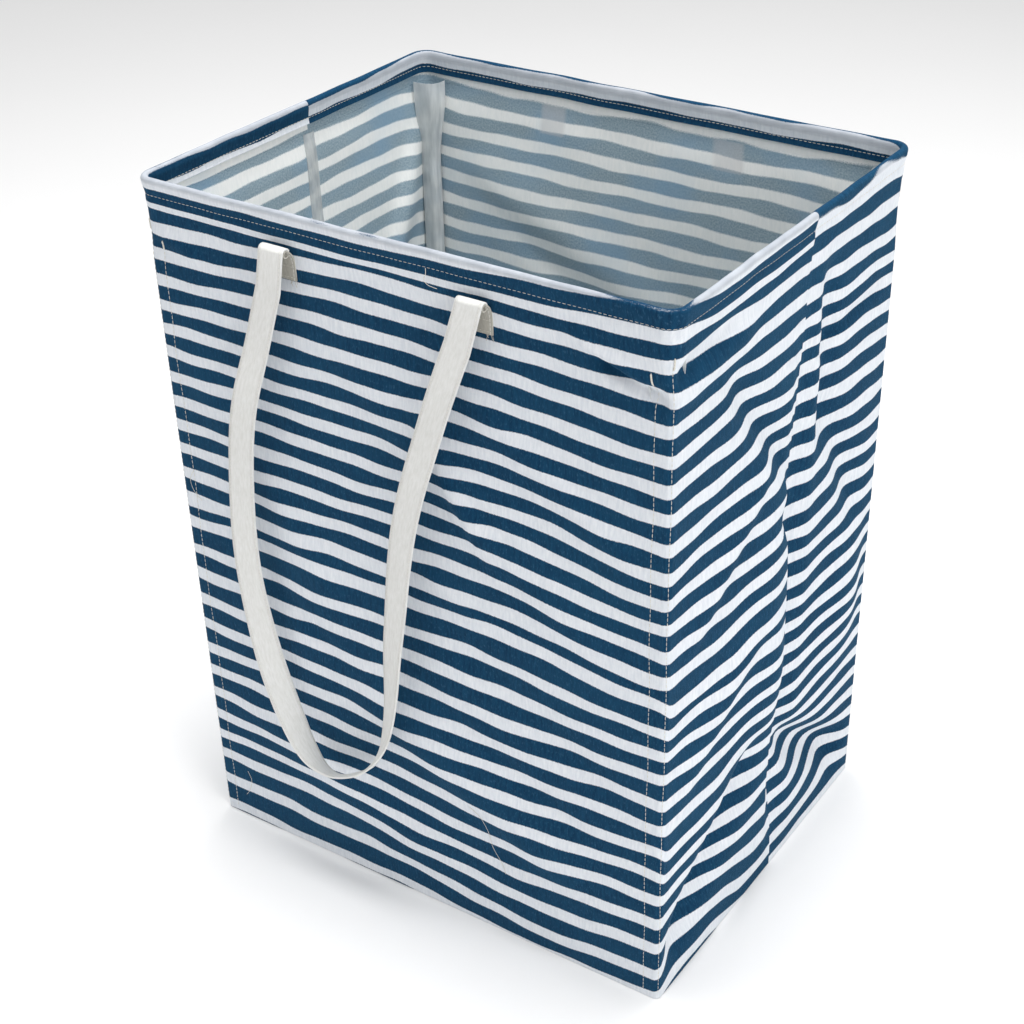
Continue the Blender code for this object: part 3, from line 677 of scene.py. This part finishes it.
def show_through(u, z, face):
    """1 where a sewn strap end of the back handle lies behind the lining."""
    spots = 0 * u
    if face > 0:
        high = rise(TAB_SHADE - np.abs(z - TAB_MIDDLE_Z), 0, 0.0015)
        for middle in (HANDLE_SHIFT - HANDLE_HALF, HANDLE_SHIFT + HANDLE_HALF):
            spots = spots + rise(TAB_SHADE - np.abs(u - middle), 0, 0.0015) * high
    return spots


def cloth_maps(u, v, number, half, behind):
    """The printed cloth's maps: place on the cloth, stripe number and half width, and what shows through."""
    return {"cloth": np.stack([u, v], axis=-1), "stripes": np.stack([number, half], axis=-1),
            "backing": np.stack([behind, behind], axis=-1)}


def make_wall(face, name, node):
    """One cloth of the body: a face and the halves of both sides that join it, canvas out and lining in."""
    end = FRONT_END if face < 0 else BACK_END
    u, z = np.meshgrid(run_of_u(end), run_of_z())
    outer = wall_surface(u, z, face)
    maps = cloth_maps(u, z, *printed(u, z, face), show_through(u, z, face))
    wall = cloth_sheet(name, outer, maps, CLOTH, [CANVAS, LINING], flip=face > 0)
    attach(wall, "base")
    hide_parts(node)
    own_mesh(wall)


make_wall(-1, "front_cloth", "front_panel")
make_wall(1, "back_cloth", "back_panel")


# ---------------------------------------------------------------- hem
ROLL_R = 0.0027           # radius of the roll over the hoop
ROLL_OUT = 0.0012         # its middle, out from the wall
HEM_STITCH_Z = 0.5470


def hem_run():
    """The hem's visible face as (out from the wall, height, length of cloth).

    It goes up the outside, over the hoop in a circle, and down inside to the cut edge.
    """
    outside = np.array([[0.0015, WALL_TOP], [0.0018, 0.5380], [0.0021, 0.5410], [0.0022, 0.5440],
                        [0.0019, 0.5470], [0.0027, 0.5500], [0.0035, 0.5535], [0.0038, 0.5558]])
    turn = np.radians(np.linspace(0, 180, 15))
    roll = np.stack([ROLL_OUT + ROLL_R * np.cos(turn), HOOP_Z + ROLL_R * np.sin(turn)], axis=1)
    inside = np.array([[-0.0019, 0.5545], [-0.0012, 0.5510], [-0.0006, 0.5470], [-0.0008, 0.5445],
                       [-0.0012, 0.5425]])
    rough = np.concatenate([outside, roll, inside])
    length = np.concatenate([[0], np.cumsum(np.hypot(*np.diff(rough, axis=0).T))])
    even = np.linspace(0, length[-1], 44)
    return (np.interp(even, length, rough[:, 0]), np.interp(even, length, rough[:, 1]), WALL_TOP + even)


def hem_surface(u, out, z, face):
    """A point of the hem, with the small waves that sewing leaves in it."""
    place, direction = base_line(u, WALL_TOP + 0 * z, face)
    free = rise(z, WALL_TOP, WALL_TOP + 0.006)
    out = out + free * 0.00035 * ripple(u, z * 0.3, 0.06, 1.4 + face)
    place = place + direction * out[..., None]
    place[..., 2] = z + free * 0.00030 * ripple(u, 0 * z, 0.09, 2.7 + face) - 0.0003 * free
    return place


def make_hem(face, name, node):
    """One half of the hem, split at the side seams, with its two rows of stitches."""
    end = FRONT_END if face < 0 else BACK_END
    out, z, v = hem_run()
    u = run_of_u(end)
    u_grid, out_grid = np.meshgrid(u, out)
    _, z_grid = np.meshgrid(u, z)
    _, v_grid = np.meshgrid(u, v)
    outer = hem_surface(u_grid, out_grid, z_grid, face)
    maps = cloth_maps(u_grid, v_grid, *printed(u_grid, v_grid, face), 0 * u_grid)
    hem = cloth_sheet(name, outer, maps, 0.0007, [CANVAS, LINING], flip=face > 0)
    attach(hem, "rim")
    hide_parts(node)
    _, direction = base_line(u, WALL_TOP + 0 * u, face)
    for title, stitch_out, way in (("outside", 0.0019, 1), ("inside", -0.0006, -1)):
        line = hem_surface(u, stitch_out + 0 * u, HEM_STITCH_Z + 0 * u, face)
        row = stitch_row(f"{name}_stitches_{title}", line + way * direction * 0.00010, way * direction,
                         THREAD, stitch=0.0027, gap=0.0009, thick=0.00020)
        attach(row, "rim")


make_hem(-1, "hem_front", "rim_hem_front")
make_hem(1, "hem_back", "rim_hem_back")


# ---------------------------------------------------------------- base
def squared_ring(angle, half_wide, half_deep, power):
    """A superellipse: cos and sin raised to a power below 1, so that the ring fills its box's corners."""
    cos, sin = np.cos(angle), np.sin(angle)
    return np.stack([np.sign(cos) * np.abs(cos) ** power * half_wide,
                     np.sign(sin) * np.abs(sin) ** power * half_deep], axis=1)


def make_base():
    """The base cloth, lining up, nearly flat, and the bound seam round its edge inside."""
    half_x, half_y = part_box("bottom_panel")[1].x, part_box("bottom_panel")[1].y
    x, y = np.meshgrid(np.linspace(-half_x, half_x, 110), np.linspace(-half_y, half_y, 86))
    inside = rise(half_x - np.abs(x), 0, 0.05) * rise(half_y - np.abs(y), 0, 0.05)
    z = 0.0003 + inside * (0.0012 + 0.0011 * ripple(x, y, 0.16, 0.4))
    maps = cloth_maps(x, y, *back_print(x * 0.9, 0.3 + y), 0 * x)
    floor_cloth = cloth_sheet("base_cloth", np.stack([x, y, z], axis=-1), maps, CLOTH, [CANVAS, LINING],
                              flip=True)
    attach(floor_cloth, "base")
    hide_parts("bottom_panel")
    low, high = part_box("base_seam_binding")
    middle = (high.x - 0.0012, high.y - 0.0012)
    plan = squared_ring(np.linspace(0, math.tau, 240, endpoint=False), *middle, 0.18)
    path = np.column_stack([plan, np.full(len(plan), (low.z + high.z) / 2)])
    along = unit(np.roll(path, -1, axis=0) - np.roll(path, 1, axis=0))
    up = np.tile([0.0, 0.0, 1.0], (len(path), 1))
    side = np.cross(along, up)
    profile = squared_ring(np.arange(14) * math.tau / 14, 0.0009, 0.0048, 0.7)
    binding = carried_profile("base_binding", path, side, up, profile, TAPE, run_length(path), closed=True)
    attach(binding, "base")
    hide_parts("base_seam_binding")


make_base()


# ---------------------------------------------------------------- seams, sleeves and corner stitching
SEAM_FOLD = 0.013         # width of the folded allowance
SLEEVE_TOP = 0.5385
TAPE_THICK = 0.0003


def make_side_seam(side, name, node):
    """Folded seam allowance on the inner face: 13 mm across the seam, following both cloths."""
    half = SEAM_FOLD / 2
    a, height = np.meshgrid(np.linspace(-half, half, 9), np.linspace(INSIDE_FOOT, INSIDE_TOP, 120))
    front = wall_surface(side * (FRONT_END + np.minimum(a, 0)), height, -1, -CLOTH)
    rear = wall_surface(side * (BACK_END - np.maximum(a, 0)), height, 1, -CLOTH)
    flat = np.where(a[..., None] < 0, front, rear)
    flat[..., 0] -= side * (0.0003 + 0.0009 * (1 - (np.abs(a) / half) ** 4))
    maps = {"cloth": np.stack([a, height], axis=-1)}
    strip = cloth_sheet(name, flat, maps, TAPE_THICK, [ALLOWANCE, ALLOWANCE], flip=side > 0)
    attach(strip, "base")
    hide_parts(node)
    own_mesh(strip)


def make_sleeve(side, face, name, node):
    """Corner sleeve: a tape bowed round the rod from wall to wall, flared where it meets the hem.

    Across, it is a quadratic Bezier curve: start on one wall, end on the other, and bow pulls it inwards.
    """
    t, z = np.meshgrid(np.linspace(0, 1, 21), np.linspace(INSIDE_FOOT, SLEEVE_TOP, 150))
    top = rise(z, 0.470, 0.530)
    start = np.stack([0.1965 - 0.0075 * top, 0.1609 + 0 * z], axis=-1)
    end = np.stack([0.2084 + 0 * z, 0.1505 - 0.0060 * top], axis=-1)
    bow = np.stack([0.1898 - 0.0030 * top, 0.1460 - 0.0020 * top], axis=-1)
    s = t[..., None]
    flat = (1 - s) ** 2 * start + 2 * s * (1 - s) * bow + s ** 2 * end
    wave = 0.0007 * ripple(t * 0.02, z, 0.05, 1.0 + side + 2 * face) * np.sin(math.pi * t)
    x = side * (flat[..., 0] - 0.7 * wave)
    y = face * (flat[..., 1] - 0.7 * wave)
    maps = {"cloth": np.stack([(t - 0.5) * 0.026, z], axis=-1)}
    tape = cloth_sheet(name, np.stack([x, y, z], axis=-1), maps, TAPE_THICK, [TAPE, TAPE],
                       flip=side * face < 0)
    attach(tape, "base")
    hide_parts(node)
    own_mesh(tape)


def make_corner_stitches(side, face, name):
    """Two rows of stitches down each corner, where the sleeve is sewn on, each with its bar tack."""
    for title, run, top in (("row_a", 0.1970, 0.5130), ("row_b", 0.2115, 0.5250)):
        z = np.linspace(0.006, top, 300)
        u = side * (run + 0.0004 * np.sin(z / 0.031) + 0.0003 * np.sin(z / 0.011 + 1))
        path = wall_surface(u, z, face, 0.00012)
        _, out = base_line(u, z, face)
        row = stitch_row(f"{name}_{title}", path, out, THREAD, stitch=0.0030, gap=0.0008, thick=0.00021)
        z = np.linspace(top - 0.006, top + 0.003, 24)
        u = side * run + 0 * z
        path = wall_surface(u, z, face, 0.0002)
        _, out = base_line(u, z, face)
        tack = stitch_row(f"{name}_{title}_tack", path, out, THREAD,
                          stitch=0.0040, gap=-0.0024, thick=0.00060)
        for piece in (row, tack):
            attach(piece, "base")
            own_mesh(piece)


for side, side_name in ((-1, "left"), (1, "right")):
    make_side_seam(side, f"side_allowance_{side_name}", f"side_seam_{side_name}")
    for face, face_name in ((-1, "front"), (1, "back")):
        make_sleeve(side, face, f"sleeve_{face_name}_{side_name}", f"corner_sleeve_{face_name}_{side_name}")
        make_corner_stitches(side, face, f"corner_stitches_{face_name}_{side_name}")


# ---------------------------------------------------------------- loose threads
def lay_thread(name, stops, face):
    """A loose thread on a wall: its stops are (u, z), held 0.3 mm off the cloth."""
    u, z = np.array(stops, float).T
    lying = thread_end(name, wall_surface(u, z, face, 0.0003), THREAD, 0.00016)
    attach(lying, "base")
    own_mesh(lying)


lay_thread("loose_thread_low", [(0.048, 0.118), (0.057, 0.112), (0.063, 0.098), (0.066, 0.084),
                                (0.074, 0.071), (0.077, 0.062)], -1)
lay_thread("loose_thread_corner", [(-0.197, 0.330), (-0.201, 0.322), (-0.199, 0.313), (-0.192, 0.306)], -1)
lay_thread("loose_thread_side", [(-0.186, 0.022), (-0.181, 0.030), (-0.178, 0.041), (-0.181, 0.049)], -1)


def hem_thread():
    """A thread end that hangs from the hem's stitches where they were started and finished."""
    place = [(0.0330, -0.1668, 0.5470), (0.0336, -0.1680, 0.5435), (0.0322, -0.1681, 0.5400),
             (0.0338, -0.1680, 0.5372), (0.0370, -0.1681, 0.5362), (0.0420, -0.1680, 0.5356)]
    hanging = thread_end("loose_thread_hem", place, THREAD, 0.00020)
    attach(hanging, "rim")


hem_thread()


# ---------------------------------------------------------------- handles
HANDLE_ROUTE = (
    (-1.06, 0.06, 0), (-1.23, 0.16, 0), (-1.40, 0.27, 6), (-1.53, 0.39, 8), (-1.59, 0.51, 12),
    (-1.57, 0.64, 18), (-1.47, 0.76, 36), (-1.30, 0.87, 60), (-1.10, 0.95, 90), (-0.87, 0.985, 122),
    (-0.62, 0.975, 112), (-0.32, 0.935, 94), (-0.12, 0.86, 50), (0.00, 0.76, 30), (0.10, 0.62, 14),
    (0.21, 0.48, 4), (0.39, 0.34, 0), (0.64, 0.20, 0), (0.88, 0.07, 0),
)


def hanging_y(below):
    """How far out the strap's middle hangs: by its fold at first, swung out to its plane 110 mm lower."""
    return FOLD_Y + FOLD_R + (STRAP_Y - FOLD_Y - FOLD_R) * rise(below, 0.040, 0.110)


def strap_run():
    """Points along the strap and the turn of its flat side: fold, leg, loop, leg, fold."""
    route = np.array(HANDLE_ROUTE, float)
    down = route[:, 1] * HANDLE_DROP
    turn = np.radians(route[:, 2])
    run = through(np.stack([route[:, 0] * HANDLE_HALF, hanging_y(down), FOLD_Z - down, turn], axis=1))
    turn = np.radians(np.linspace(20, 160, 10))
    fold = np.stack([0 * turn, FOLD_Y - FOLD_R * np.cos(turn), FOLD_Z + FOLD_R * np.sin(turn), 0 * turn],
                    axis=1)
    first = fold + [-HANDLE_HALF, 0, 0, 0]
    last = fold[::-1] + [HANDLE_HALF, 0, 0, 0]
    return np.concatenate([first, run, last]), len(first)


def make_handle(face, name, node):
    """The strap: a flat section with soft edges carried along its run, turned about its length."""
    run, folded = strap_run()
    path = run[:, :3]
    along = unit(np.gradient(path, axis=0))
    heading = along[:, [0, 2]].copy()
    heading[:folded] = (0, -1)
    heading[-folded:] = (0, 1)
    heading = heading / np.linalg.norm(heading, axis=1, keepdims=True)
    sideways = np.stack([heading[:, 1], 0 * heading[:, 0], -heading[:, 0]], axis=1)
    out = np.cross(along, sideways)
    cos, sin = np.cos(run[:, 3])[:, None], np.sin(run[:, 3])[:, None]
    wide, thick = cos * sideways + sin * out, -sin * sideways + cos * out
    length = run_length(path)
    path = path + thick * (0.0005 * np.sin(length / 0.019))[:, None]
    mirror = np.array([1.0, float(face), 1.0])
    path = (path + [HANDLE_SHIFT, 0, 0]) * mirror
    half, deep = STRAP_WIDTH / 2, STRAP_THICK / 2
    line = np.linspace(-half + 0.0004, half - 0.0004, 9)
    crown = deep * (1 - 0.15 * (line / half) ** 4)
    profile = np.concatenate([np.stack([line, crown], axis=1), [[half, 0.0]],
                              np.stack([line[::-1], -crown], axis=1), [[-half, 0.0]]])
    if face < 0:
        profile = profile[::-1]
    strap = carried_profile(name, path, wide * mirror, thick * mirror, profile, STRAP, length)
    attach(strap, f"{name.split('_')[0]}_handle")
    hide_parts(node)
    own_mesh(strap)


def make_tab(face, middle, name, node):
    """A strap end: sewn flat on the wall, then out under the hem and rolled inside the strap's fold."""
    turn = np.radians(np.linspace(165, -150, 22))
    roll = np.stack([FOLD_Y + 0.0019 * np.cos(turn), FOLD_Z + 0.0019 * np.sin(turn)], axis=1)
    flat = np.array([[0.16475, 0.5118], [0.16480, 0.5160], [0.16480, 0.5205], [0.16500, 0.5245],
                     [0.16580, 0.5285], [0.16760, 0.5318], [0.16960, 0.5336]])
    run = np.concatenate([flat, roll])
    across = np.linspace(-STRAP_WIDTH / 2, STRAP_WIDTH / 2, 11)
    a, y = np.meshgrid(across, run[:, 0])
    _, z = np.meshgrid(across, run[:, 1])
    length = np.concatenate([[0], np.cumsum(np.hypot(*np.diff(run, axis=0).T))])
    _, v = np.meshgrid(across, length)
    y = y + 0.0006 * rise(z, 0.518, 0.530) * (1 - rise(z, 0.530, 0.534)) * np.sin(a / 0.0035)
    shape = np.stack([HANDLE_SHIFT + middle + a, face * y, z], axis=-1)
    # painted shade: the strap end's darker canvas stands for its shade under the strap's fold
    tab = cloth_sheet(name, shape, {"cloth": np.stack([a, v], axis=-1)}, 0.0008, [SHADED_TAB_CANVAS, SHADED_TAB_CANVAS], flip=face > 0)
    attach(tab, "rim")
    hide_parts(node)
    for title, height in (("low", 0.5138), ("high", 0.5215)):
        x = np.linspace(-0.0088, 0.0088, 30)
        path = np.stack([HANDLE_SHIFT + middle + x, face * (0.16495 + 0 * x), height + 0 * x], axis=1)
        row = stitch_row(f"{name}_stitches_{title}", path, np.tile([0.0, float(face), 0.0], (30, 1)), THREAD,
                         stitch=0.0022, gap=0.0007, thick=0.00028)
        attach(row, "rim")


def fray_end(face, middle, name):
    """Five short thread ends at the lower outer corner of a sewn strap end."""
    for k in range(5):
        x = HANDLE_SHIFT + middle + STRAP_WIDTH / 2 - 0.0012 * k
        reach = 0.0035 + 0.0016 * math.sin(2.3 * k + middle * 90)
        lean = 0.0022 * math.sin(1.7 * k + 0.6)
        stops = [(x, face * 0.1650, 0.5126), (x + 0.4 * lean, face * 0.1653, 0.5126 - 0.5 * reach),
                 (x + lean, face * 0.1655, 0.5126 - reach)]
        # painted shade: the fray threads take the strap end's darker, shaded canvas
        end = thread_end(f"{name}_fray_{k}", stops, SHADED_TAB_CANVAS, 0.00016)
        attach(end, "rim")


for face, face_name in ((-1, "front"), (1, "back")):
    make_handle(face, f"{face_name}_strap", f"{face_name}_handle")
    for middle, side_name in ((-HANDLE_HALF, "left"), (HANDLE_HALF, "right")):
        make_tab(face, middle, f"{face_name}_strap_end_{side_name}", f"{face_name}_handle_tab_{side_name}")
        fray_end(face, middle, f"{face_name}_strap_end_{side_name}")


# ---------------------------------------------------------------- carried-over pieces
def finish_of(title):
    """The finish of a CAD piece, by its name."""
    if title in ("rim_hoop", "hoop_ferrule"):
        return STEEL
    if title.startswith("corner_rod"):
        return FIBRE
    return CAP if title.startswith(("rod_foot", "rod_cap")) else CANVAS


for title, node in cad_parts.items():
    for slot in node.material_slots:
        slot.material = finish_of(title)


# ---------------------------------------------------------------- studio
FLOOR_Z = -0.0005


def make_floor():
    """A white floor, 18 m square, just under the hamper."""
    f = Finish("studio_floor", Roughness=0.9, Specular_IOR_Level=0.1)
    place = f.node("ShaderNodeTexCoord").outputs["Object"]
    tone = f.noise(place, 3, 1.0)
    material = f.shade(Base_Color=f.mix(tone, (0.93, 0.93, 0.93, 1), (0.95, 0.95, 0.95, 1)))
    mesh = bpy.data.meshes.new("studio_floor")
    corners = [(x, y, FLOOR_Z) for x, y in ((-9, -9), (9, -9), (9, 9), (-9, 9))]
    mesh.from_pydata(corners, [], [(0, 1, 2, 3)])
    mesh.materials.append(material)
    floor = bpy.data.objects.new("studio_floor", mesh)
    bpy.context.scene.collection.objects.link(floor)


def standing(right, up, back, place):
    """The placement whose axes are right, up and back, at place."""
    return Matrix([[right[k], up[k], back[k], place[k]] for k in range(3)] + [[0, 0, 0, 1]])


def add_light(name, place, target, power, size):
    """A square soft light that faces its target."""
    lamp = bpy.data.lights.new(name, "AREA")
    lamp.energy = power
    lamp.size = size
    holder = bpy.data.objects.new(name, lamp)
    back = unit(np.array(place, float) - np.array(target, float))
    right = unit(np.cross([0.0, 0.0, 1.0], back))
    up = np.cross(back, right)
    holder.matrix_world = standing(right, up, back, place)
    bpy.context.scene.collection.objects.link(holder)


def add_camera():
    """The viewpoint: 33.2 degrees round to the right, 33.0 degrees up, nearly level."""
    azimuth, height, roll = (math.radians(a) for a in (33.2335, 32.9994, -0.7214))
    back = np.array([math.sin(azimuth) * math.cos(height), -math.cos(azimuth) * math.cos(height),
                     math.sin(height)])
    level = np.array([math.cos(azimuth), math.sin(azimuth), 0.0])
    upright = np.cross(back, level)
    right = math.cos(roll) * level + math.sin(roll) * upright
    up = math.cos(roll) * upright - math.sin(roll) * level
    lens = bpy.data.cameras.new("camera")
    lens.sensor_width = 36
    lens.lens = 64.17
    lens.shift_x = -0.0439
    lens.shift_y = 0.0605
    lens.clip_start = 0.05
    camera = bpy.data.objects.new("camera", lens)
    camera.matrix_world = standing(right, up, back, (0.68096, -1.01025, 1.00682))
    bpy.context.scene.collection.objects.link(camera)
    bpy.context.scene.camera = camera


make_floor()
add_camera()
add_light("key", (2.5, -0.7, 1.7), (0, 0, 0.25), 30, 1.5)
add_light("fill", (-1.6, -2.0, 2.0), (0, 0, 0.25), 5, 1.2)
add_light("overhead", (0, 0.1, 2.6), (0, 0, 0.3), 58, 1.2)
world = bpy.data.worlds.new("studio")
world.use_nodes = True
world.node_tree.nodes["Background"].inputs[0].default_value = (1, 1, 1, 1)
world.node_tree.nodes["Background"].inputs[1].default_value = 0.53
bpy.context.scene.world = world
bpy.context.scene.view_settings.view_transform = "Standard"
